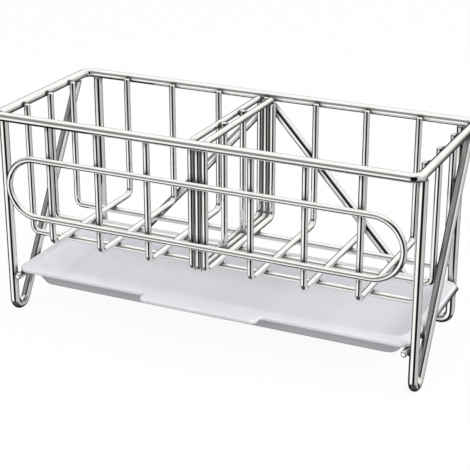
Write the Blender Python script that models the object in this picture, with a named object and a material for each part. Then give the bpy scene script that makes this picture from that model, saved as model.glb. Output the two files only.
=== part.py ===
"""Sink sponge holder: a welded wire rack with two baskets over a drip tray that slides out.

Metres, +Z up. The origin is on the floor, under the middle of the rack. +X runs along the
rack and -Y is the front, where the tray is pulled out. Each wire is bent in one plane, as on
a wire former, from straight runs and bends. Pieces that are welded or rest on each other
keep a small gap.
"""

import math

import bmesh
import bpy
from mathutils import Matrix, Quaternion, Vector

QUARTER = math.pi / 2
RIGHT = Vector((1, 0, 0))
BACK = Vector((0, 1, 0))
UP = Vector((0, 0, 1))

# Wire stock
FRAME_WIRE = 0.005
BASKET_WIRE = 0.0035
WIRE_SIDES = 12
BEND_STEP = QUARTER / 5
CONTACT_GAP = 0.0003
JOIN_DISTANCE = 0.000001

# Outside of the rack, over the rim
RACK_WIDTH = 0.240
RACK_DEPTH = 0.100
RACK_HEIGHT = 0.120
RIM_BEND = 0.0045

# Legs: how far they stand in from the rim's corners, and how they turn at the floor
LEG_INSET = 0.0075
FOOT_BEND = 0.00575
SIDE_BRACE_INSET = 0.011
APEX_BEND = 0.004

# Drip tray, and the two rails that carry it
RAIL_HEIGHT = 0.023
TRAY_SIDE_CLEARANCE = 0.0004
TRAY_BACK_CLEARANCE = 0.0006
TRAY_FRONT_SETBACK = 0.0019
FLANGE_WIDTH = 0.008
FLANGE_THICKNESS = 0.0023
FLANGE_ROUND = 0.0012
FLANGE_CORNER = 0.006
BASIN_TO_RAIL = 0.0007
BASIN_DEPTH = 0.0108
BASIN_SIDE_DRAFT = 0.004
BASIN_END_DRAFT = 0.006
BASIN_CORNER = 0.0055
BASIN_FLOOR_CORNER = 0.0045
BASIN_WALL = 0.0015
TAB_WIDTH = 0.068
TAB_REACH = 0.0072
TAB_ROOT = 0.004
TAB_CORNER = 0.003
CORNER_STEPS = 4
ROUND_STEPS = 3

# Baskets
BASKET_OVER_TRAY = 0.0146
BASKET_BEND = 0.004
BASKET_TOP_RISE = 0.001
CROSS_WIRES_PER_BASKET = 3
LONG_WIRES = ("long_wire_front", "long_wire_middle", "long_wire_back")

# Guard loop across the front
GUARD_DROP = 0.022
GUARD_HEIGHT = 0.033
GUARD_INSET = 0.0058

# Places that follow from these sizes
RIM_Z = RACK_HEIGHT - FRAME_WIRE / 2
RIM_X = (RACK_WIDTH - FRAME_WIRE) / 2
RIM_Y = (RACK_DEPTH - FRAME_WIRE) / 2
UNDER_RIM = RIM_Z - FRAME_WIRE / 2 - CONTACT_GAP
FRONT_LEG_Y = LEG_INSET - RIM_Y
FOOT_Z = (FOOT_BEND + FRAME_WIRE / 2) * math.cos(BEND_STEP / 2)
WIRE_TO_WIRE = BASKET_WIRE + CONTACT_GAP
INSIDE_FRAME = FRAME_WIRE / 2 + CONTACT_GAP + BASKET_WIRE / 2
CROSS_Y = RIM_Y - INSIDE_FRAME
LONG_X = RIM_X - INSIDE_FRAME
CROSS_WIRE_PITCH = RIM_X / (CROSS_WIRES_PER_BASKET + 1)
LONG_WIRE_PITCH = 2 * RIM_Y / (len(LONG_WIRES) + 1)
TRAY_UNDERSIDE = RAIL_HEIGHT + BASKET_WIRE / 2 + CONTACT_GAP
LONG_WIRE_FLOOR = TRAY_UNDERSIDE + FLANGE_THICKNESS + BASKET_OVER_TRAY + BASKET_WIRE / 2
BASKET_FLOOR = LONG_WIRE_FLOOR + WIRE_TO_WIRE
BASKET_TOP = RIM_Z + BASKET_TOP_RISE


def clear_scene():
    for obj in list(bpy.data.objects):
        bpy.data.objects.remove(obj, do_unlink=True)


def principled(name, color, metallic, roughness):
    material = bpy.data.materials.new(name)
    material.use_nodes = True
    shader = material.node_tree.nodes["Principled BSDF"]
    shader.inputs["Base Color"].default_value = (*color, 1.0)
    shader.inputs["Metallic"].default_value = metallic
    shader.inputs["Roughness"].default_value = roughness
    material.diffuse_color = (*color, 1.0)
    return material


def polished_steel(piece):
    return principled(piece + "_steel", (0.78, 0.78, 0.79), metallic=1.0, roughness=0.12)


def frosted_plastic(piece):
    return principled(piece + "_plastic", (0.80, 0.82, 0.86), metallic=0.0, roughness=0.45)


def mesh_from(bm, name):
    """Turns a bmesh into a mesh, round where it is round and sharp at its cut ends."""
    bmesh.ops.recalc_face_normals(bm, faces=bm.faces)
    mesh = bpy.data.meshes.new(name)
    bm.to_mesh(mesh)
    bm.free()
    mesh.materials.append(None)
    mesh.shade_smooth()
    mesh.set_sharp_from_angle(angle=math.radians(35))
    return mesh


def place(name, mesh, material, parent, location=(0, 0, 0)):
    """Adds one piece, with a material of its own even where its mesh is shared."""
    obj = bpy.data.objects.new(name, mesh)
    bpy.context.scene.collection.objects.link(obj)
    obj.parent = parent
    obj.location = location
    obj.material_slots[0].link = "OBJECT"
    obj.material_slots[0].material = material
    return obj


# A wire is formed by a list of moves. A positive bend turns it by the right-hand rule about
# the turning axis, which stands square to the plane that the wire lies in.


def run(length):
    return ("run", length, 0)


def bend(angle, radius):
    return ("bend", angle, radius)


def edges_of(geometry):
    return [item for item in geometry if isinstance(item, bmesh.types.BMEdge)]


def draw_straight(bm, ring, step):
    """Extrudes the wire's open end, and returns the new end."""
    grown = bmesh.ops.extrude_edge_only(bm, edges=ring)["geom"]
    moved = {item for item in grown if isinstance(item, bmesh.types.BMVert)}
    bmesh.ops.translate(bm, verts=list(moved), vec=step)
    return [edge for edge in edges_of(grown) if set(edge.verts) <= moved]


def form_wire(diameter, start, heading, turn_axis, moves, closed=False):
    """Sweeps a round section along the moves. A flat of it faces along the wire's plane."""
    bm = bmesh.new()
    section_radius = diameter / 2 / math.cos(math.pi / WIRE_SIDES)
    bmesh.ops.create_circle(bm, cap_ends=False, segments=WIRE_SIDES, radius=section_radius)
    point, heading, turn_axis = Vector(start), Vector(heading), Vector(turn_axis)
    axes = Matrix((turn_axis, heading.cross(turn_axis), heading)).transposed().to_4x4()
    half_side = Matrix.Rotation(math.pi / WIRE_SIDES, 4, "Z")
    bmesh.ops.transform(bm, verts=bm.verts, matrix=Matrix.Translation(point) @ axes @ half_side)
    first_end = list(bm.edges)
    end = first_end
    for kind, amount, radius in moves:
        if kind == "run":
            end = draw_straight(bm, end, heading * amount)
            point = point + heading * amount
            continue
        inward = turn_axis.cross(heading) * math.copysign(radius, amount)
        centre = point + inward
        turned = bmesh.ops.spin(
            bm,
            geom=end,
            cent=centre,
            axis=turn_axis,
            angle=amount,
            steps=math.ceil(round(abs(amount) / BEND_STEP, 3)),
            use_merge=False,
            use_duplicate=False,
        )
        end = edges_of(turned["geom_last"])
        turn = Quaternion(turn_axis, amount)
        point = centre - turn @ inward
        heading = turn @ heading
    if closed:
        bmesh.ops.remove_doubles(bm, verts=bm.verts, dist=JOIN_DISTANCE)
    else:
        bmesh.ops.edgeloop_fill(bm, edges=first_end + end)
    return bm


def saw_level(bm, height):
    """Saws off what stands above a level, and closes the sawn ends."""
    sawn = bmesh.ops.bisect_plane(
        bm,
        geom=list(bm.verts) + list(bm.edges) + list(bm.faces),
        plane_co=UP * height,
        plane_no=UP,
        clear_outer=True,
    )
    bmesh.ops.edgeloop_fill(bm, edges=edges_of(sawn["geom_cut"]))


def rectangle_wire(diameter, start, heading, turn_axis, sides, radius):
    """A closed wire of four straight sides and four equal bends."""
    moves = []
    for side in sides:
        moves += [run(side - 2 * radius), bend(QUARTER, radius)]
    return form_wire(diameter, start, heading, turn_axis, moves, closed=True)


def basket_wire(half_span, floor, turn_axis):
    """A U of basket wire: down from the rim, across the bottom and up again."""
    across = turn_axis.cross(-UP)
    upright = BASKET_TOP - floor - BASKET_BEND
    moves = [
        run(upright),
        bend(QUARTER, BASKET_BEND),
        run(2 * (half_span - BASKET_BEND)),
        bend(QUARTER, BASKET_BEND),
        run(upright),
    ]
    start = UP * BASKET_TOP - across * half_span
    return form_wire(BASKET_WIRE, start, -UP, turn_axis, moves)


def foot(turn):
    """The bend of a foot. One step of it lies level, so that a flat rests on the floor."""
    to_pad = QUARTER - BEND_STEP / 2
    return [
        bend(to_pad, FOOT_BEND),
        bend(BEND_STEP, FOOT_BEND),
        bend(turn - to_pad - BEND_STEP, FOOT_BEND),
    ]


def brace(across, rise, offset):
    """Tilt from upright, and length, of a brace that leads from one bend to the next.

    across and rise lead from the first bend's centre to the second's. offset is how far the
    brace passes from them in all: both radii, or one where it ends at a plain point.
    """
    distance = math.hypot(across, rise)
    tilt = math.atan2(across, rise) - math.asin(offset / distance)
    return tilt, math.sqrt(distance**2 - offset**2)


def make_rim(rack):
    sides = (2 * RIM_X, 2 * RIM_Y, 2 * RIM_X, 2 * RIM_Y)
    start = (RIM_BEND - RIM_X, -RIM_Y, 0)
    rim = mesh_from(rectangle_wire(FRAME_WIRE, start, RIGHT, UP, sides, RIM_BEND), "rim")
    place("top_rim", rim, polished_steel("top_rim"), rack, (0, 0, RIM_Z))


def make_front_legs(rack):
    """Each front leg turns back at its foot and climbs to the rim's side as a brace."""
    across = RIM_Y - SIDE_BRACE_INSET - FRONT_LEG_Y - FOOT_BEND
    tilt, length = brace(across, UNDER_RIM - FOOT_Z, FOOT_BEND)
    moves = [run(RIM_Z - FOOT_Z), *foot(math.pi - tilt), run(length + FRAME_WIRE)]
    bm = form_wire(FRAME_WIRE, UP * RIM_Z, -UP, RIGHT, moves)
    saw_level(bm, UNDER_RIM)
    leg = mesh_from(bm, "front_leg")
    for name, side in (("left_front_leg", -1), ("right_front_leg", 1)):
        place(name, leg, polished_steel(name), rack, (side * RIM_X, FRONT_LEG_Y, 0))


def make_back_legs(rack):
    """One wire makes both back legs, and the braces that meet under the rim's middle."""
    leg_x = RIM_X - LEG_INSET
    apex_z = UNDER_RIM - FRAME_WIRE / 2 - APEX_BEND
    tilt, length = brace(leg_x - FOOT_BEND, apex_z - FOOT_Z, FOOT_BEND + APEX_BEND)
    inward_foot = foot(math.pi - tilt)
    moves = [
        run(UNDER_RIM - FOOT_Z),
        *inward_foot,
        run(length),
        bend(2 * tilt - math.pi, APEX_BEND),
        run(length),
        *reversed(inward_foot),
        run(UNDER_RIM - FOOT_Z),
    ]
    start = UP * UNDER_RIM - RIGHT * leg_x
    legs = mesh_from(form_wire(FRAME_WIRE, start, -UP, -BACK, moves), "back_legs")
    place("back_leg_frame", legs, polished_steel("back_leg_frame"), rack, (0, RIM_Y, 0))


def make_guard_loop(rack):
    radius = GUARD_HEIGHT / 2
    half_run = RIM_X - GUARD_INSET - radius
    start = (-half_run, 0, -radius)
    moves = [run(2 * half_run), bend(math.pi, radius)] * 2
    loop = mesh_from(form_wire(BASKET_WIRE, start, RIGHT, -BACK, moves, closed=True), "loop")
    location = (0, -CROSS_Y - WIRE_TO_WIRE, RIM_Z - GUARD_DROP - radius)
    place("front_guard_loop", loop, polished_steel("front_guard_loop"), rack, location)


def make_cross_wires(rack):
    """The U wires that run from front to back, counted from the left in each basket."""
    wire = mesh_from(basket_wire(CROSS_Y, BASKET_FLOOR, RIGHT), "cross_wire")
    for count in range(CROSS_WIRES_PER_BASKET):
        left_x = (count - CROSS_WIRES_PER_BASKET) * CROSS_WIRE_PITCH
        right_x = (count + 1) * CROSS_WIRE_PITCH
        for basket, x in (("left", left_x), ("right", right_x)):
            name = f"{basket}_cross_wire_{count + 1}"
            place(name, wire, polished_steel(name), rack, (x, 0, 0))


def make_long_wires(rack):
    """The U wires that run the whole length, under the cross wires and the divider."""
    wire = mesh_from(basket_wire(LONG_X, LONG_WIRE_FLOOR, -BACK), "long_wire")
    middle = (len(LONG_WIRES) - 1) / 2
    for count, name in enumerate(LONG_WIRES):
        y = (count - middle) * LONG_WIRE_PITCH
        place(name, wire, polished_steel(name), rack, (0, y, 0))


def make_divider(rack):
    """Two closed frames, with a U wire and two upright bars held between them."""
    height = RIM_Z - BASKET_FLOOR
    sides = (2 * CROSS_Y, height, 2 * CROSS_Y, height)
    start = (0, BASKET_BEND - CROSS_Y, BASKET_FLOOR)
    bm = rectangle_wire(BASKET_WIRE, start, BACK, RIGHT, sides, BASKET_BEND)
    frame = mesh_from(bm, "divider_frame")
    for name, side in (("divider_left_frame", -1), ("divider_right_frame", 1)):
        place(name, frame, polished_steel(name), rack, (side * WIRE_TO_WIRE, 0, 0))

    center = mesh_from(basket_wire(CROSS_Y, BASKET_FLOOR, RIGHT), "divider_center")
    place("divider_center_wire", center, polished_steel("divider_center_wire"), rack)

    bar_foot = BASKET_FLOOR + WIRE_TO_WIRE - BASKET_WIRE / 2
    moves = [run(BASKET_TOP - bar_foot)]
    bar = mesh_from(form_wire(BASKET_WIRE, UP * bar_foot, UP, RIGHT, moves), "divider_bar")
    for name, side in (("divider_bar_front", -1), ("divider_bar_back", 1)):
        place(name, bar, polished_steel(name), rack, (0, side * LONG_WIRE_PITCH / 2, 0))


def make_tray_rails(rack):
    """Straight rails between the front and back legs, level with each other."""
    front = FRONT_LEG_Y - FRAME_WIRE / 2
    back = RIM_Y - FRAME_WIRE / 2 - CONTACT_GAP
    moves = [run(back - front)]
    rail = mesh_from(form_wire(BASKET_WIRE, BACK * front, BACK, RIGHT, moves), "tray_rail")
    for name, side in (("left_tray_rail", -1), ("right_tray_rail", 1)):
        place(name, rail, polished_steel(name), rack, (side * LONG_X, 0, RAIL_HEIGHT))


def outline(half_width, front, back, radius, z):
    """Points of a rounded rectangle, anticlockwise as seen from above."""
    corners = (
        (half_width - radius, front + radius, -QUARTER),
        (half_width - radius, back - radius, 0),
        (radius - half_width, back - radius, QUARTER),
        (radius - half_width, front + radius, 2 * QUARTER),
    )
    points = []
    for x, y, first in corners:
        for step in range(CORNER_STEPS + 1):
            angle = first + QUARTER * step / CORNER_STEPS
            points.append((x + radius * math.cos(angle), y + radius * math.sin(angle), z))
    return points


def plate_outlines(half_width, front, back, radius):
    """A flange's outlines from its underside up, with its upper edge rounded over."""
    outlines = [outline(half_width, front, back, radius, 0)]
    for step in range(ROUND_STEPS + 1):
        angle = QUARTER * step / ROUND_STEPS
        inset = FLANGE_ROUND * (1 - math.cos(angle))
        z = FLANGE_THICKNESS - FLANGE_ROUND * (1 - math.sin(angle))
        sides = (half_width - inset, front + inset, back - inset)
        outlines.append(outline(*sides, radius - inset, z))
    return outlines


def pull_face(outlines):
    """Pulls a face from outline to outline, leaving the first one and the walls behind."""
    bm = bmesh.new()
    first = face = bm.faces.new([bm.verts.new(point) for point in outlines[0]])
    for points in outlines[1:]:
        pulled = bmesh.ops.extrude_face_region(bm, geom=[face])["geom"]
        if face != first:
            bmesh.ops.delete(bm, geom=[face], context="FACES_ONLY")
        face = next(item for item in pulled if isinstance(item, bmesh.types.BMFace))
        for vert, point in zip(face.verts, points):
            vert.co = point
    return bm


def make_tray_tab(tray):
    """The finger tab, a plate as thick as the flange that it grows out of."""
    bm = pull_face(plate_outlines(TAB_WIDTH / 2, -TAB_REACH, TAB_ROOT, TAB_CORNER))
    tab = bpy.data.objects.new("tray_tab_form", mesh_from(bm, "tray_tab"))
    bpy.context.scene.collection.objects.link(tab)
    tab.parent = tray
    tab.hide_render = True
    tab.display_type = "WIRE"
    return tab


def make_drip_tray(rack):
    """A shallow basin under a flange. Its origin is at the flange's front edge, on the line
    that it slides along, level with the underside that rides on the rails."""
    front = FRONT_LEG_Y - FRAME_WIRE / 2 + TRAY_FRONT_SETBACK
    depth = RIM_Y - FRAME_WIRE / 2 - TRAY_BACK_CLEARANCE - front
    half_width = RIM_X - FRAME_WIRE / 2 - TRAY_SIDE_CLEARANCE
    mouth = LONG_X - BASKET_WIRE / 2 - BASIN_TO_RAIL - BASIN_WALL
    floor = FLANGE_THICKNESS - BASIN_DEPTH

    def at_mouth(wall, z):
        near = FLANGE_WIDTH - wall
        return outline(mouth + wall, near, depth - near, BASIN_CORNER + wall, z)

    def at_floor(wall, z):
        near = FLANGE_WIDTH + BASIN_SIDE_DRAFT - wall
        half_length = mouth - BASIN_END_DRAFT + wall
        return outline(half_length, near, depth - near, BASIN_FLOOR_CORNER + wall, z)

    outlines = [
        at_floor(BASIN_WALL, floor - BASIN_WALL),
        at_mouth(BASIN_WALL, 0),
        *plate_outlines(half_width, 0, depth, FLANGE_CORNER),
        at_mouth(0, FLANGE_THICKNESS),
        at_floor(0, floor),
    ]
    mesh = mesh_from(pull_face(outlines), "drip_tray")
    plastic = frosted_plastic("drip_tray")
    tray = place("drip_tray", mesh, plastic, rack, (0, front, TRAY_UNDERSIDE))
    tab = tray.modifiers.new("tab", "BOOLEAN")
    tab.operation = "UNION"
    tab.solver = "EXACT"
    tab.object = make_tray_tab(tray)


def build():
    clear_scene()
    rack = bpy.data.objects.new("sponge_holder", None)
    bpy.context.scene.collection.objects.link(rack)
    make_rim(rack)
    make_front_legs(rack)
    make_back_legs(rack)
    make_guard_loop(rack)
    make_cross_wires(rack)
    make_long_wires(rack)
    make_divider(rack)
    make_tray_rails(rack)
    make_drip_tray(rack)


build()
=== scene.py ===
# Sponge holder for a sink: polished wire rack, frosted drip tray, plain pale studio.
import math

import bmesh
import bpy
from mathutils import Matrix, Quaternion, Vector, geometry


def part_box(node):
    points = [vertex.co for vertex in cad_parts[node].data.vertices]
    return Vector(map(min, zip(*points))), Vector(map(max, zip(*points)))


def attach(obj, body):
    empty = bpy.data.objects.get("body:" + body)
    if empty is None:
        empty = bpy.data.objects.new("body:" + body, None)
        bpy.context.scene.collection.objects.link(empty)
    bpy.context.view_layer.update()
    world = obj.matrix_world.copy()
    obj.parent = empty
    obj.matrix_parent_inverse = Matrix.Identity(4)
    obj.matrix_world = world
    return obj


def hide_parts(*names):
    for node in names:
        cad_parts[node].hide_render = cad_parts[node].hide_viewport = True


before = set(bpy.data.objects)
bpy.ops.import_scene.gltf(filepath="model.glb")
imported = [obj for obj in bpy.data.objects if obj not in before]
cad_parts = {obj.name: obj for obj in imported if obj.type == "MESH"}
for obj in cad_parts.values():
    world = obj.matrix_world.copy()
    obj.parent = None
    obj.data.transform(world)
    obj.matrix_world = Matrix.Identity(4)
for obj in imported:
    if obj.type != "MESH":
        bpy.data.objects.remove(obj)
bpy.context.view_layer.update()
right, back, up = Vector((1, 0, 0)), Vector((0, 1, 0)), Vector((0, 0, 1))
print("frame loaded,", len(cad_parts), "nodes")


# shared effects: each is a node group that every material gives its own values

def groupShell(name, inputs, outputs):
    tree = bpy.data.node_groups.new(name, "ShaderNodeTree")
    for label, kind, value in inputs:
        socket = tree.interface.new_socket(label, in_out="INPUT", socket_type=kind)
        if value is not None:
            socket.default_value = value
    for label, kind in outputs:
        tree.interface.new_socket(label, in_out="OUTPUT", socket_type=kind)
    return tree, tree.nodes.new("NodeGroupInput"), tree.nodes.new("NodeGroupOutput")


def mathNode(tree, operation, first, second=None):
    node = tree.nodes.new("ShaderNodeMath")
    node.operation = operation
    for socket, value in zip(node.inputs, (first, second)):
        if isinstance(value, bpy.types.NodeSocket):
            tree.links.new(value, socket)
        elif value is not None:
            socket.default_value = value
    return node.outputs[0]


def noiseNode(tree, vector, scale, detail, roughness=0.5):
    node = tree.nodes.new("ShaderNodeTexNoise")
    node.inputs["Detail"].default_value = detail
    node.inputs["Roughness"].default_value = roughness
    tree.links.new(vector, node.inputs["Vector"])
    if isinstance(scale, bpy.types.NodeSocket):
        tree.links.new(scale, node.inputs["Scale"])
    else:
        node.inputs["Scale"].default_value = scale
    return node.outputs["Fac"]


def drawnGrain():
    # fine lines that the drawing die leaves along a wire, and a slow waviness of the polish
    tree, ins, outs = groupShell(
        "drawnGrain",
        [
            ("Vector", "NodeSocketVector", None),
            ("Lines", "NodeSocketFloat", 2600.0),
            ("Stretch", "NodeSocketFloat", 0.03),
            ("Waves", "NodeSocketFloat", 70.0),
        ],
        [("Lines", "NodeSocketFloat"), ("Waves", "NodeSocketFloat")],
    )
    squash = tree.nodes.new("ShaderNodeCombineXYZ")
    squash.inputs[0].default_value = 1
    squash.inputs[1].default_value = 1
    tree.links.new(ins.outputs["Stretch"], squash.inputs[2])
    pulled = tree.nodes.new("ShaderNodeVectorMath")
    pulled.operation = "MULTIPLY"
    tree.links.new(ins.outputs["Vector"], pulled.inputs[0])
    tree.links.new(squash.outputs[0], pulled.inputs[1])
    lines = noiseNode(tree, pulled.outputs[0], ins.outputs["Lines"], 3)
    tree.links.new(lines, outs.inputs["Lines"])
    waves = noiseNode(tree, ins.outputs["Vector"], ins.outputs["Waves"], 1)
    tree.links.new(waves, outs.inputs["Waves"])
    return tree


def handling():
    # smudges and fine specks that both the steel and the plastic pick up
    tree, ins, outs = groupShell(
        "handling",
        [
            ("Vector", "NodeSocketVector", None),
            ("Smudge Size", "NodeSocketFloat", 60.0),
            ("Speck Size", "NodeSocketFloat", 900.0),
        ],
        [("Smudges", "NodeSocketFloat"), ("Specks", "NodeSocketFloat")],
    )
    smudge = noiseNode(tree, ins.outputs["Vector"], ins.outputs["Smudge Size"], 4, 0.6)
    tree.links.new(smudge, outs.inputs["Smudges"])
    speck = noiseNode(tree, ins.outputs["Vector"], ins.outputs["Speck Size"], 2)
    tree.links.new(speck, outs.inputs["Specks"])
    return tree


groups = {"grain": drawnGrain(), "handling": handling()}


def newMaterial(name, color, metallic, roughness):
    material = bpy.data.materials.new(name)
    material.use_nodes = True
    shader = material.node_tree.nodes["Principled BSDF"]
    shader.inputs["Base Color"].default_value = (*color, 1)
    shader.inputs["Metallic"].default_value = metallic
    shader.inputs["Roughness"].default_value = roughness
    material.diffuse_color = (*color, 1)
    return material, material.node_tree, shader


def addGroup(tree, which, vector, **values):
    node = tree.nodes.new("ShaderNodeGroup")
    node.node_tree = groups[which]
    tree.links.new(vector, node.inputs["Vector"])
    for label, value in values.items():
        node.inputs[label.replace("_", " ")].default_value = value
    return node


def mapRange(tree, value, low, high, toLow, toHigh):
    node = tree.nodes.new("ShaderNodeMapRange")
    labels = ("From Min", "From Max", "To Min", "To Max")
    for label, number in zip(labels, (low, high, toLow, toHigh)):
        node.inputs[label].default_value = number
    tree.links.new(value, node.inputs["Value"])
    return node.outputs["Result"]


def mixColor(tree, factor, first, second):
    # each colour is a plain one or another node's output
    node = tree.nodes.new("ShaderNodeMix")
    node.data_type = "RGBA"
    tree.links.new(factor, node.inputs["Factor"])
    for label, color in (("A", first), ("B", second)):
        if isinstance(color, bpy.types.NodeSocket):
            tree.links.new(color, node.inputs[label])
        else:
            node.inputs[label].default_value = (*color, 1)
    return node.outputs["Result"]


def uneven(tree, value, spread, first, second):
    # two colours, or two plain values, that take turns over the surface as a noise does
    if isinstance(first, tuple):
        return mixColor(tree, mapRange(tree, value, *spread, 0, 1), first, second)
    return mapRange(tree, value, *spread, first, second)


def handled(tree, look):
    # the handling of a piece that has no wire to follow: it goes by place
    place = tree.nodes.new("ShaderNodeTexCoord").outputs["Object"]
    return addGroup(tree, "handling", place, Smudge_Size=look["smudges"], Speck_Size=look["specks"])


def addBump(tree, shader, height, strength, distance):
    node = tree.nodes.new("ShaderNodeBump")
    node.inputs["Strength"].default_value = strength
    node.inputs["Distance"].default_value = distance
    tree.links.new(height, node.inputs["Height"])
    tree.links.new(node.outputs["Normal"], shader.inputs["Normal"])


steelLook = {
    "bright": (0.93, 0.918, 0.893),
    "dull": (0.85, 0.84, 0.818),
    "gloss": (0.035, 0.07),
    "spread": (0.35, 0.7),  # part of the smudge noise over which bright turns to dull
    "lines": 2600.0,
    "lineDepth": 0.004,  # of the drawn lines against the slow waves
    "bump": (0.12, 0.0006),
    "creviceShade": (0.14, 0.135, 0.13),  # painted shade colour where wires nearly touch
    "creviceShadePull": (0.005, 0.55, 0.97),  # how near, and the openness at which the painted shade is full and gone
    "creviceShadeRays": 8,
}


def polishedSteel():
    look = steelLook
    material, tree, shader = newMaterial("polishedSteel", look["bright"], 1.0, 0.08)
    wire = tree.nodes.new("ShaderNodeAttribute")
    wire.attribute_name = "alongWire"
    grain = addGroup(tree, "grain", wire.outputs["Vector"], Lines=look["lines"])
    touch = addGroup(tree, "handling", wire.outputs["Vector"])
    color = uneven(tree, touch.outputs["Smudges"], look["spread"], look["bright"], look["dull"])
    # painted shade: the base colour darkens towards the crevice shade colour wherever other wires lie
    # near
    near, full, gone = look["creviceShadePull"]
    creviceProbe = tree.nodes.new("ShaderNodeAmbientOcclusion")
    creviceProbe.samples = look["creviceShadeRays"]
    creviceProbe.inputs["Distance"].default_value = near
    color = uneven(tree, creviceProbe.outputs["AO"], (full, gone), look["creviceShade"], color)
    tree.links.new(color, shader.inputs["Base Color"])
    gloss = uneven(tree, touch.outputs["Smudges"], look["spread"], *look["gloss"])
    tree.links.new(gloss, shader.inputs["Roughness"])
    lines = mathNode(tree, "MULTIPLY", grain.outputs["Lines"], look["lineDepth"])
    addBump(tree, shader, mathNode(tree, "ADD", grain.outputs["Waves"], lines), *look["bump"])
    return material


# weld beads: burnt weld colour, also kept dark as painted contact shade at each joint
beadLook = {
    "bright": (0.22, 0.21, 0.20),
    "burntAndShaded": (0.06, 0.056, 0.052),
    "gloss": (0.2, 0.4),
    "spread": (0.35, 0.65),
    "glossSpread": (0.3, 0.7),
    "smudges": 420.0,
    "specks": 2600.0,
    "bump": (0.4, 0.0003),
}


def weldSteel():
    look = beadLook
    material, tree, shader = newMaterial("weldSteel", look["bright"], 1.0, 0.3)
    touch = handled(tree, look)
    # painted shade: the dark bead colour also stands for the shade where wires meet
    color = uneven(tree, touch.outputs["Smudges"], look["spread"], look["bright"], look["burntAndShaded"])
    tree.links.new(color, shader.inputs["Base Color"])
    gloss = uneven(tree, touch.outputs["Specks"], look["glossSpread"], *look["gloss"])
    tree.links.new(gloss, shader.inputs["Roughness"])
    addBump(tree, shader, touch.outputs["Specks"], *look["bump"])
    return material


trayLook = {
    "plastic": (0.86, 0.872, 0.91),
    "cloudy": (0.835, 0.845, 0.88),
    "gloss": (0.28, 0.42),
    "spread": (0.35, 0.65),
    "glossSpread": (0.3, 0.7),
    "smudges": 28.0,
    "specks": 2400.0,
    "bump": (0.25, 0.00012),
}


def frostedPlastic():
    look = trayLook
    material, tree, shader = newMaterial("frostedPlastic", look["plastic"], 0.0, 0.35)
    touch = handled(tree, look)
    color = uneven(tree, touch.outputs["Smudges"], look["spread"], look["plastic"], look["cloudy"])
    tree.links.new(color, shader.inputs["Base Color"])
    gloss = uneven(tree, touch.outputs["Smudges"], look["glossSpread"], *look["gloss"])
    tree.links.new(gloss, shader.inputs["Roughness"])
    addBump(tree, shader, touch.outputs["Specks"], *look["bump"])
    return material


finishes = {"steel": polishedSteel(), "weld": weldSteel(), "plastic": frostedPlastic()}
print("materials ready")


# wire is formed as on a bending table, by straight runs and turns

def straight(length):
    return ("straight", length, 0)


def turn(angle, radius):
    return ("turn", angle, radius)


def everything(bm):
    return bm.verts[:] + bm.edges[:] + bm.faces[:]


def edgesOf(items):
    return [item for item in items if isinstance(item, bmesh.types.BMEdge)]


def vertsOf(items):
    return [item for item in items if isinstance(item, bmesh.types.BMVert)]


def pullRing(bm, ring, matrix, travelled):
    grown = bmesh.ops.extrude_edge_only(bm, edges=ring)["geom"]
    ahead = vertsOf(grown)
    bmesh.ops.transform(bm, verts=ahead, matrix=matrix)
    layer = bm.verts.layers.float_vector["alongWire"]
    for vert in ahead:
        vert[layer].z = travelled
    return [edge for edge in edgesOf(grown) if set(edge.verts) <= set(ahead)]


def about(point, matrix):
    return Matrix.Translation(point) @ matrix @ Matrix.Translation(-point)


cutEnd = {"burr": 0.45, "steps": 3}  # how much of the radius is filed off, and in how many rings


def fileEnd(bm, ring, point, heading, radius, travelled):
    burr, size = radius * cutEnd["burr"], radius
    quarter = math.pi / 2 / cutEnd["steps"]
    for count in range(cutEnd["steps"]):
        smaller = radius - burr * (1 - math.cos(quarter * (count + 1)))
        step = heading * burr * (math.sin(quarter * (count + 1)) - math.sin(quarter * count))
        shrink = about(point, Matrix.Scale(smaller / size, 4))
        ring = pullRing(bm, ring, Matrix.Translation(step) @ shrink, travelled)
        point, size = point + step, smaller
    bmesh.ops.edgeloop_fill(bm, edges=ring)


wireRuns = []  # every straight run: piece, start, end, wire radius


def formWire(name, thick, start, heading, axis, moves, sides=24, closed=False, steps=8):
    bm = bmesh.new()
    layer = bm.verts.layers.float_vector.new("alongWire")
    radius = thick / 2
    point, heading, axis = Vector(start), Vector(heading), Vector(axis)
    bmesh.ops.create_circle(bm, cap_ends=False, segments=sides, radius=radius)
    for vert in bm.verts:
        vert[layer] = vert.co
    section = Matrix((axis, heading.cross(axis), heading)).transposed().to_4x4()
    bmesh.ops.transform(bm, verts=bm.verts, matrix=Matrix.Translation(point) @ section)
    firstRing = ring = list(bm.edges)
    firstPoint, firstHeading, travelled = point.copy(), heading.copy(), 0
    for kind, amount, bend in moves:
        if kind == "straight":
            travelled += amount
            ring = pullRing(bm, ring, Matrix.Translation(heading * amount), travelled)
            wireRuns.append((name, point.copy(), point + heading * amount, radius))
            point = point + heading * amount
            continue
        centre = point + axis.cross(heading) * math.copysign(bend, amount)
        count = max(2, round(abs(amount) / (math.pi / 2) * steps))
        swing = Quaternion(axis, amount / count)
        for _ in range(count):
            travelled += abs(amount) / count * bend
            ring = pullRing(bm, ring, about(centre, swing.to_matrix().to_4x4()), travelled)
            point = centre + swing @ (point - centre)
            heading = swing @ heading
    if closed:
        bmesh.ops.remove_doubles(bm, verts=bm.verts, dist=0.000005)
    else:
        fileEnd(bm, firstRing, firstPoint, -firstHeading, radius, 0)
        fileEnd(bm, ring, point, heading, radius, travelled)
    return bm


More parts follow.
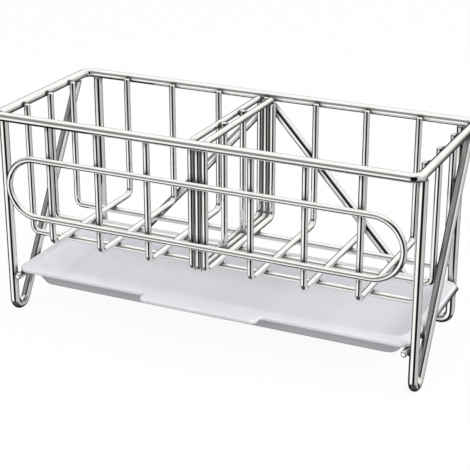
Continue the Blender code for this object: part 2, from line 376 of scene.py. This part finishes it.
def finishPiece(bm, name, material, body, nodes, angle=40):
    bmesh.ops.recalc_face_normals(bm, faces=bm.faces)
    mesh = bpy.data.meshes.new(name)
    bm.to_mesh(mesh)
    bm.free()
    mesh.materials.append(material)
    mesh.shade_smooth()
    mesh.set_sharp_from_angle(angle=math.radians(angle))
    piece = bpy.data.objects.new(name, mesh)
    bpy.context.scene.collection.objects.link(piece)
    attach(piece, body)
    if nodes:
        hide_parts(*nodes)
    return piece


def steelPiece(bm, name, *nodes):
    # wires mirror the studio and the tray but not each other, which keeps their long bands clean
    piece = finishPiece(bm, name, finishes["steel"], "rack", nodes)
    piece.visible_glossy = False
    return piece


def middle(node):
    low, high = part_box(node)
    return (low + high) / 2


rimLow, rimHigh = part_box("top_rim")
rim = {"thick": 0.005, "bend": 0.0045, "weld": 0.0004, "legGap": 0.0003, "sides": 28}
rimX, rimY = rimHigh.x - rim["thick"] / 2, rimHigh.y - rim["thick"] / 2
rimZ = middle("top_rim").z
rimUnder = rimLow.z - rim["legGap"]


def makeRim():
    half, seam = rimX - rim["bend"], rim["weld"]
    corner, short = turn(math.pi / 2, rim["bend"]), straight(2 * (rimY - rim["bend"]))
    moves = [straight(half - seam), corner, short, corner, straight(2 * half), corner, short, corner]
    moves += [straight(half), straight(seam)]
    start = (seam, -rimY, rimZ)
    bm = formWire("topRim", rim["thick"], start, right, up, moves, sides=rim["sides"], closed=True)
    steelPiece(bm, "topRim", "top_rim")


def braceLine(across, rise, offset):
    # tilt from upright and length of a straight brace that touches both of its bends
    reach = math.hypot(across, rise)
    return math.atan2(across, rise) - math.asin(offset / reach), math.sqrt(reach**2 - offset**2)


legs = {
    "thick": 0.005,
    "footBend": 0.00575,
    "braceInset": 0.011,  # from the rim's back wire to the top of a front leg's brace
    "apexBend": 0.004,  # where the two long braces meet
    "sides": 28,
    "steps": 10,  # to a quarter turn
}


def formLeg(name, start, axis, moves):
    return formWire(
        name, legs["thick"], start, -up, axis, moves, sides=legs["sides"], steps=legs["steps"]
    )


def makeFrontLegs():
    radius, bend = legs["thick"] / 2, legs["footBend"]
    footZ = bend + radius
    for side in ("left", "right"):
        name, node = side + "FrontLeg", side + "_front_leg"
        low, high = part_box(node)
        x, y = (low.x + high.x) / 2, low.y + radius
        across = rimY - legs["braceInset"] - y - bend
        tilt, length = braceLine(across, rimUnder - footZ, bend)
        foot, brace = turn(math.pi - tilt, bend), straight(length + legs["thick"])
        bm = formLeg(name, (x, y, rimZ), right, [straight(rimZ - footZ), foot, brace])
        cut = bmesh.ops.bisect_plane(
            bm, geom=everything(bm), plane_co=up * rimUnder, plane_no=up, clear_outer=True
        )
        bmesh.ops.edgeloop_fill(bm, edges=edgesOf(cut["geom_cut"]))
        steelPiece(bm, name, node)


def makeBackLegs():
    radius, bend, apexBend = legs["thick"] / 2, legs["footBend"], legs["apexBend"]
    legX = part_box("back_leg_frame")[1].x - radius
    footZ, apexZ = bend + radius, rimUnder - radius - apexBend
    tilt, length = braceLine(legX - bend, apexZ - footZ, bend + apexBend)
    upright, brace = straight(rimUnder - footZ), straight(length)
    foot, apex = turn(math.pi - tilt, bend), turn(2 * tilt - math.pi, apexBend)
    moves = [upright, foot, brace, apex, brace, foot, upright]
    steelPiece(formLeg("backLegs", (-legX, rimY, rimUnder), -back, moves), "backLegs", "back_leg_frame")


makeRim()
makeFrontLegs()
makeBackLegs()
print("rim and legs bent")

basket = {
    "thick": 0.0035,
    "bend": 0.004,
    "loopWeld": 0.0004,
    "loopSteps": 16,
    "filed": 0.0012,  # how much is filed off each top end
}


def makeGuardLoop():
    low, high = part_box("front_guard_loop")
    radius = (high.z - low.z - basket["thick"]) / 2
    half, seam = high.x - basket["thick"] / 2 - radius, basket["loopWeld"]
    around = turn(math.pi, radius)
    moves = [straight(half - seam), around, straight(2 * half), around, straight(half), straight(seam)]
    start = (seam, (low.y + high.y) / 2, low.z + basket["thick"] / 2)
    bm = formWire(
        "guardLoop", basket["thick"], start, right, -back, moves, closed=True, steps=basket["loopSteps"]
    )
    steelPiece(bm, "guardLoop", "front_guard_loop")


def makeBasketWire(name, node):
    # a U of thin wire: down one side, across the bottom and up the other
    low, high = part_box(node)
    radius, bend = basket["thick"] / 2, basket["bend"]
    centre = (low + high) / 2
    lengthwise = high.x - low.x > high.y - low.y
    across, axis = (right, -back) if lengthwise else (back, right)
    half = (high - low).dot(across) / 2 - radius
    floor = low.z + radius
    top = high.z - basket["filed"]
    upright = straight(top - floor - bend)
    corner = turn(math.pi / 2, bend)
    moves = [upright, corner, straight(2 * (half - bend)), corner, upright]
    start = Vector((centre.x, centre.y, top)) - across * half
    steelPiece(formWire(name, basket["thick"], start, -up, axis, moves), name, node)


def makeDividerFrame(name, node):
    low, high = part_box(node)
    radius, bend, seam = basket["thick"] / 2, basket["bend"], basket["loopWeld"]
    x, half = (low.x + high.x) / 2, high.y - radius - bend
    bottom, top = low.z + radius, high.z - radius
    corner, tall = turn(math.pi / 2, bend), straight(top - bottom - 2 * bend)
    moves = [straight(half - seam), corner, tall, corner, straight(2 * half), corner, tall, corner]
    moves += [straight(half), straight(seam)]
    bm = formWire(name, basket["thick"], (x, seam, bottom), back, right, moves, closed=True)
    steelPiece(bm, name, node)


def makeStraightWire(name, node):
    low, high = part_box(node)
    size, centre = high - low, (low + high) / 2
    if size.y > size.z:
        start, heading, axis, length = (centre.x, low.y, centre.z), back, right, size.y
    else:
        start, heading, axis, length = (centre.x, centre.y, low.z), up, right, size.z
    steelPiece(formWire(name, basket["thick"], start, heading, axis, [straight(length)]), name, node)


makeGuardLoop()
for side in ("left", "right"):
    for count in (1, 2, 3):
        makeBasketWire(f"{side}CrossWire{count}", f"{side}_cross_wire_{count}")
for spot in ("front", "middle", "back"):
    makeBasketWire(spot + "LongWire", "long_wire_" + spot)
makeDividerFrame("leftDivider", "divider_left_frame")
makeDividerFrame("rightDivider", "divider_right_frame")
makeBasketWire("dividerCentre", "divider_center_wire")
makeStraightWire("frontDividerBar", "divider_bar_front")
makeStraightWire("backDividerBar", "divider_bar_back")
makeStraightWire("leftRail", "left_tray_rail")
makeStraightWire("rightRail", "right_tray_rail")
print("baskets, divider and rails bent")


# a small pressed weld bead wherever two wires cross

weld = {
    "size": (0.92, 0.92, 0.575),  # of the thinner wire's radius, across and through the joint
    "collar": (1.04, 1.04, 0.26),  # of the leg wire's radius
    "reach": 0.0007,  # widest gap that a weld fills
    "along": 0.001,  # how far past a wire's straight run a weld may sit
    "parallel": 0.9,  # cosine past which two wires run side by side and don't cross
    "atRim": 0.0001,  # how near to the rim's underside a leg's run ends
    "sides": 12,
    "rings": 6,
}


def within(point, start, end):
    slack, along = weld["along"], (end - start).normalized()
    return -slack <= (point - start).dot(along) <= (end - start).length + slack


def addBead(bm, spot, across, radius, size, sides):
    turned = up.rotation_difference(across).to_matrix().to_4x4()
    flat = Matrix.Diagonal([radius * share for share in size] + [1])
    matrix = Matrix.Translation(spot) @ turned @ flat
    bmesh.ops.create_uvsphere(bm, u_segments=sides, v_segments=weld["rings"], radius=1, matrix=matrix)


def crossing(first, second):
    # where two wires of different pieces cross closely: the point between them and the way across
    (nameA, startA, endA, radiusA), (nameB, startB, endB, radiusB) = first, second
    alongA, alongB = endA - startA, endB - startB
    if nameA == nameB or min(alongA.length, alongB.length) < weld["along"]:
        return None
    near = geometry.intersect_line_line(startA, endA, startB, endB)
    if near is None or abs(alongA.normalized().dot(alongB.normalized())) > weld["parallel"]:
        return None
    gap, touching = (near[1] - near[0]).length, radiusA + radiusB
    if not touching / 2 < gap < touching + weld["reach"]:
        return None
    if not (within(near[0], startA, endA) and within(near[1], startB, endB)):
        return None
    across = (near[1] - near[0]).normalized()
    return near[0] + across * (radiusA + (gap - touching) / 2), across


def makeWelds():
    bm = bmesh.new()
    count = 0
    for i, first in enumerate(wireRuns):
        for second in wireRuns[i + 1:]:
            joint = crossing(first, second)
            if joint:
                addBead(bm, *joint, min(first[3], second[3]), weld["size"], weld["sides"])
                count += 1
    # a flat collar where each leg or brace butts against the rim from below
    collars = [Vector((0, rimY, rimUnder))]
    for name, start, end, radius in wireRuns:
        if "Leg" in name and max(start.z, end.z) > rimUnder - weld["atRim"]:
            collars.append(start.lerp(end, (rimUnder - start.z) / (end.z - start.z)))
    for spot in collars:
        addBead(bm, spot, up, legs["thick"] / 2, weld["collar"], 2 * weld["sides"])
    finishPiece(bm, "weldBeads", finishes["weld"], "rack", (), angle=80)
    print(count + len(collars), "weld beads and collars")


makeWelds()


# the drip tray is blocked out in millimetres as a flat plate, sunk, and then rounded

tray = {
    "plate": 2.3,
    "wall": 1.5,
    "mouth": (109.0, 34.5),
    "floor": (103.0, 30.5),
    "depth": 10.8,
    "tabHalf": 34.0,
    "tabReach": 7.2,
    "corners": {"flange": (6.0, 8), "basin": (5.2, 8), "tab": (3.0, 6), "root": (1.4, 4)},
    "edges": {"top": (0.85, 4), "under": (0.45, 2), "floor": (1.3, 4), "bottom": (1.8, 4)},
}


def sinkFaces(bm, faces, halfSize, centreY, depth):
    # insets a region to an exact half width and half length, and moves it down or up
    bmesh.ops.inset_region(bm, faces=faces, thickness=1, use_even_offset=True)
    verts = list({vert for face in faces for vert in face.verts})
    halfX = max(vert.co.x for vert in verts)
    halfY = max(vert.co.y for vert in verts) - centreY
    bmesh.ops.translate(bm, vec=(0, -centreY, 0), verts=verts)
    bmesh.ops.scale(bm, vec=(halfSize[0] / halfX, halfSize[1] / halfY, 1), verts=verts)
    bmesh.ops.translate(bm, vec=(0, centreY, depth), verts=verts)


def roundOff(bm, edges, size):
    offset, segments = size
    bmesh.ops.bevel(
        bm, geom=edges, offset=offset, offset_type="OFFSET", segments=segments,
        profile=0.5, affect="EDGES", material=-1,
    )


def makeTray():
    low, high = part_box("drip_tray")
    top, half = high.z * 1000, high.x * 1000
    front, rear = low.y * 1000 + tray["tabReach"], high.y * 1000
    under, centreY = top - tray["plate"], (front + rear) / 2
    bm = bmesh.new()
    bmesh.ops.create_cube(bm, size=1)
    bmesh.ops.scale(bm, vec=(2 * half, rear - front, tray["plate"]), verts=bm.verts)
    bmesh.ops.translate(bm, vec=(0, centreY, top - tray["plate"] / 2), verts=bm.verts)
    for x in (-tray["tabHalf"], tray["tabHalf"]):
        bmesh.ops.bisect_plane(bm, geom=everything(bm), plane_co=(x, 0, 0), plane_no=right)
    bm.normal_update()
    topFaces = [face for face in bm.faces if face.normal.z > 0.9]
    underFaces = [face for face in bm.faces if face.normal.z < -0.9]
    frontFaces = [face for face in bm.faces if face.normal.y < -0.9]
    tabFace = [face for face in frontFaces if abs(face.calc_center_median().x) < 1]
    pulled = bmesh.ops.extrude_face_region(bm, geom=tabFace)["geom"]
    bmesh.ops.delete(bm, geom=tabFace, context="FACES_ONLY")
    bmesh.ops.translate(bm, vec=(0, -tray["tabReach"], 0), verts=vertsOf(pulled))

    wall, mouth, floor = tray["wall"], tray["mouth"], tray["floor"]
    bottom = top - tray["depth"] - wall
    sinkFaces(bm, topFaces, mouth, centreY, 0)
    sinkFaces(bm, topFaces, floor, centreY, -tray["depth"])
    sinkFaces(bm, underFaces, (mouth[0] + wall, mouth[1] + wall), centreY, 0)
    sinkFaces(bm, underFaces, (floor[0] + wall, floor[1] + wall), centreY, bottom - under)
    bm.normal_update()

    def uprights(x, y, slack):
        # the upright edges that stand at x and y from the middle, on any side of it
        def near(vert):
            return abs(abs(vert.co.x) - x) < slack and abs(abs(vert.co.y - centreY) - y) < slack

        tall = [edge for edge in bm.edges if abs(edge.verts[0].co.z - edge.verts[1].co.z) > 1]
        return [edge for edge in tall if all(near(vert) for vert in edge.verts)]

    halfY, corners = (rear - front) / 2, tray["corners"]
    roundOff(bm, uprights(half, halfY, 0.6), corners["flange"])
    basin = [(mouth[axis] + floor[axis] + wall) / 2 for axis in (0, 1)]
    roundOff(bm, uprights(*basin, 5), corners["basin"])
    roundOff(bm, uprights(tray["tabHalf"], halfY + tray["tabReach"], 0.1), corners["tab"])
    root = [edge for edge in uprights(tray["tabHalf"], halfY, 0.1) if edge.verts[0].co.y < centreY]
    roundOff(bm, root, corners["root"])

    levels = {"top": top, "under": under, "floor": top - tray["depth"], "bottom": bottom}
    bm.normal_update()
    for name, z in levels.items():
        bent = []
        for edge in bm.edges:
            if len(edge.link_faces) == 2 and all(abs(vert.co.z - z) < 0.01 for vert in edge.verts):
                if edge.calc_face_angle(0) > 0.5:
                    bent.append(edge)
        roundOff(bm, bent, tray["edges"][name])
    return bm


bm = makeTray()
bmesh.ops.scale(bm, vec=(0.001, 0.001, 0.001), verts=bm.verts)
dripTray = finishPiece(
    bm, "dripTray", finishes["plastic"], "tray", ("drip_tray",), angle=50
)
evened = dripTray.modifiers.new("evened", "WEIGHTED_NORMAL")
evened.keep_sharp = True
print("tray moulded:", len(dripTray.data.polygons), "faces")


# the studio: a pale floor, a white tent round it, and the dark places that polished wire picks up

floorLook = {
    "size": 6,
    "sunk": 0.00002,  # so that the feet don't lie in its plane
    "paper": 0.97,
    "bounce": 0.3,  # what it throws back at the tray
    "shadow": 0.06,  # how much of it is paper that takes a shadow, and not plain white
}


def makeFloor():
    look = floorLook
    bm = bmesh.new()
    bmesh.ops.create_grid(bm, x_segments=1, y_segments=1, size=look["size"])
    mesh = bpy.data.meshes.new("studioFloor")
    bm.to_mesh(mesh)
    bm.free()
    floor = bpy.data.objects.new("studioFloor", mesh)
    bpy.context.scene.collection.objects.link(floor)
    floor.location.z = -look["sunk"]
    floor.visible_glossy = False
    material, tree, shader = newMaterial("palePaper", (look["bounce"],) * 3, 0.0, 0.9)
    shader.inputs["Specular IOR Level"].default_value = 0
    glow = tree.nodes.new("ShaderNodeEmission")
    paper = tree.nodes.new("ShaderNodeBsdfDiffuse")
    paper.inputs["Color"].default_value = (look["paper"],) * 3 + (1,)
    seen, picked = tree.nodes.new("ShaderNodeMixShader"), tree.nodes.new("ShaderNodeMixShader")
    light = tree.nodes.new("ShaderNodeLightPath")
    seen.inputs["Fac"].default_value = look["shadow"]
    tree.links.new(glow.outputs[0], seen.inputs[1])
    tree.links.new(paper.outputs[0], seen.inputs[2])
    tree.links.new(light.outputs["Is Camera Ray"], picked.inputs["Fac"])
    tree.links.new(shader.outputs[0], picked.inputs[1])
    tree.links.new(seen.outputs[0], picked.inputs[2])
    tree.links.new(picked.outputs[0], tree.nodes["Material Output"].inputs["Surface"])
    mesh.materials.append(material)


tent = {
    "walls": 0.745,  # what lights the plastic and the floor
    "sheen": 1.08,  # what the steel mirrors
    # azimuth from the front, elevation, half width, half height and soft edge in degrees, and how dark
    "darkPlaces": {
        "camera": (29.5, -6, 29, 46, 5, 0.99),
        "overCamera": (-25, 22, 66, 26, 6, 0.74),
        "rightWall": (96, -20, 38, 34, 12, 0.45),
        "highRight": (58, 39, 26, 15, 8, 0.6),
        "behind": (226, -28, 72, 42, 6, 0.95),
        "backRight": (150, -16, 24, 20, 10, 0.45),
        "underneath": (0, -90, 360, 49, 6, 0.92),
    },
}


def turnedBy(tree, vector, angles):
    node = tree.nodes.new("ShaderNodeMapping")
    node.inputs["Rotation"].default_value = [math.radians(angle) for angle in angles]
    tree.links.new(vector, node.inputs["Vector"])
    return node.outputs[0]


def darkPlace(tree, direction, azimuth, elevation, halfWidth, halfHeight, soft, dark):
    # swings the place round to the front, and measures how far a ray passes from it
    parts = tree.nodes.new("ShaderNodeSeparateXYZ")
    tree.links.new(turnedBy(tree, direction, (0, 0, -azimuth)), parts.inputs[0])
    forward = mathNode(tree, "MULTIPLY", parts.outputs["Y"], -1)
    aside = mathNode(tree, "ARCTAN2", parts.outputs["X"], forward)
    height = mathNode(tree, "ARCSINE", parts.outputs["Z"])
    above = mathNode(tree, "SUBTRACT", height, math.radians(elevation))
    rounded = []  # the fourth powers make its corners round
    for value, half in ((aside, halfWidth), (above, halfHeight)):
        share = mathNode(tree, "ABSOLUTE", mathNode(tree, "DIVIDE", value, math.radians(half)))
        rounded.append(mathNode(tree, "POWER", share, 4))
    reach = mathNode(tree, "POWER", mathNode(tree, "ADD", *rounded), 0.25)
    edge = soft / min(halfWidth, halfHeight)
    return mapRange(tree, reach, 1 + edge, 1 - edge, 1, 1 - dark)


def makeTent():
    world = bpy.data.worlds.new("lightTent")
    bpy.context.scene.world = world
    world.use_nodes = True
    tree = world.node_tree
    walls = tree.nodes["Background"]
    sheen, paper = (tree.nodes.new("ShaderNodeBackground") for _ in range(2))
    for part, strength in ((walls, tent["walls"]), (sheen, tent["sheen"]), (paper, 1)):
        part.inputs["Color"].default_value = (1, 1, 1, 1)
        part.inputs["Strength"].default_value = strength
    direction = tree.nodes.new("ShaderNodeTexCoord").outputs["Generated"]
    tone = None
    for place in tent["darkPlaces"].values():
        shade = darkPlace(tree, direction, *place)
        tone = shade if tone is None else mathNode(tree, "MULTIPLY", tone, shade)
    tree.links.new(tone, sheen.inputs["Color"])
    light = tree.nodes.new("ShaderNodeLightPath")
    shown = walls
    for rays, source in (("Is Glossy Ray", sheen), ("Is Camera Ray", paper)):
        pick = tree.nodes.new("ShaderNodeMixShader")
        tree.links.new(light.outputs[rays], pick.inputs["Fac"])
        tree.links.new(shown.outputs[0], pick.inputs[1])
        tree.links.new(source.outputs[0], pick.inputs[2])
        shown = pick
    tree.links.new(shown.outputs[0], tree.nodes["World Output"].inputs["Surface"])


softBoxes = {
    "distance": 1.6,
    "size": 1.2,
    # azimuth from the front, elevation, power
    "sideBox": (82, 21, 16.5),
    "frontBox": (-8, 40, 5.5),
}


def lookFrom(azimuth, elevation):
    turned, raised = math.radians(azimuth), math.radians(elevation)
    flat = math.cos(raised)
    return Vector((math.sin(turned) * flat, -math.cos(turned) * flat, math.sin(raised)))


def makeSoftBox(name):
    azimuth, elevation, power = softBoxes[name]
    away = lookFrom(azimuth, elevation)
    data = bpy.data.lights.new(name, "AREA")
    data.size = softBoxes["size"]
    data.energy = power
    lamp = bpy.data.objects.new(name, data)
    bpy.context.scene.collection.objects.link(lamp)
    lamp.location = away * softBoxes["distance"]
    lamp.rotation_euler = away.to_track_quat("Z", "Y").to_euler()
    lamp.visible_glossy = False


cameraLook = {
    "azimuth": 25.02,
    "elevation": 22.14,
    "distance": 0.769,
    "aim": (0.00078, 0, 0.05185),
    "lens": 108.28,
    "sensor": 36,
}


def makeCamera():
    look = cameraLook
    away = lookFrom(look["azimuth"], look["elevation"])
    data = bpy.data.cameras.new("photoCamera")
    data.lens = look["lens"]
    data.sensor_width = look["sensor"]
    camera = bpy.data.objects.new("photoCamera", data)
    bpy.context.scene.collection.objects.link(camera)
    camera.location = Vector(look["aim"]) + away * look["distance"]
    camera.rotation_euler = away.to_track_quat("Z", "Y").to_euler()
    bpy.context.scene.camera = camera


makeFloor()
makeTent()
makeSoftBox("sideBox")
makeSoftBox("frontBox")
makeCamera()
bpy.context.scene.view_settings.view_transform = "Standard"
print("studio ready")
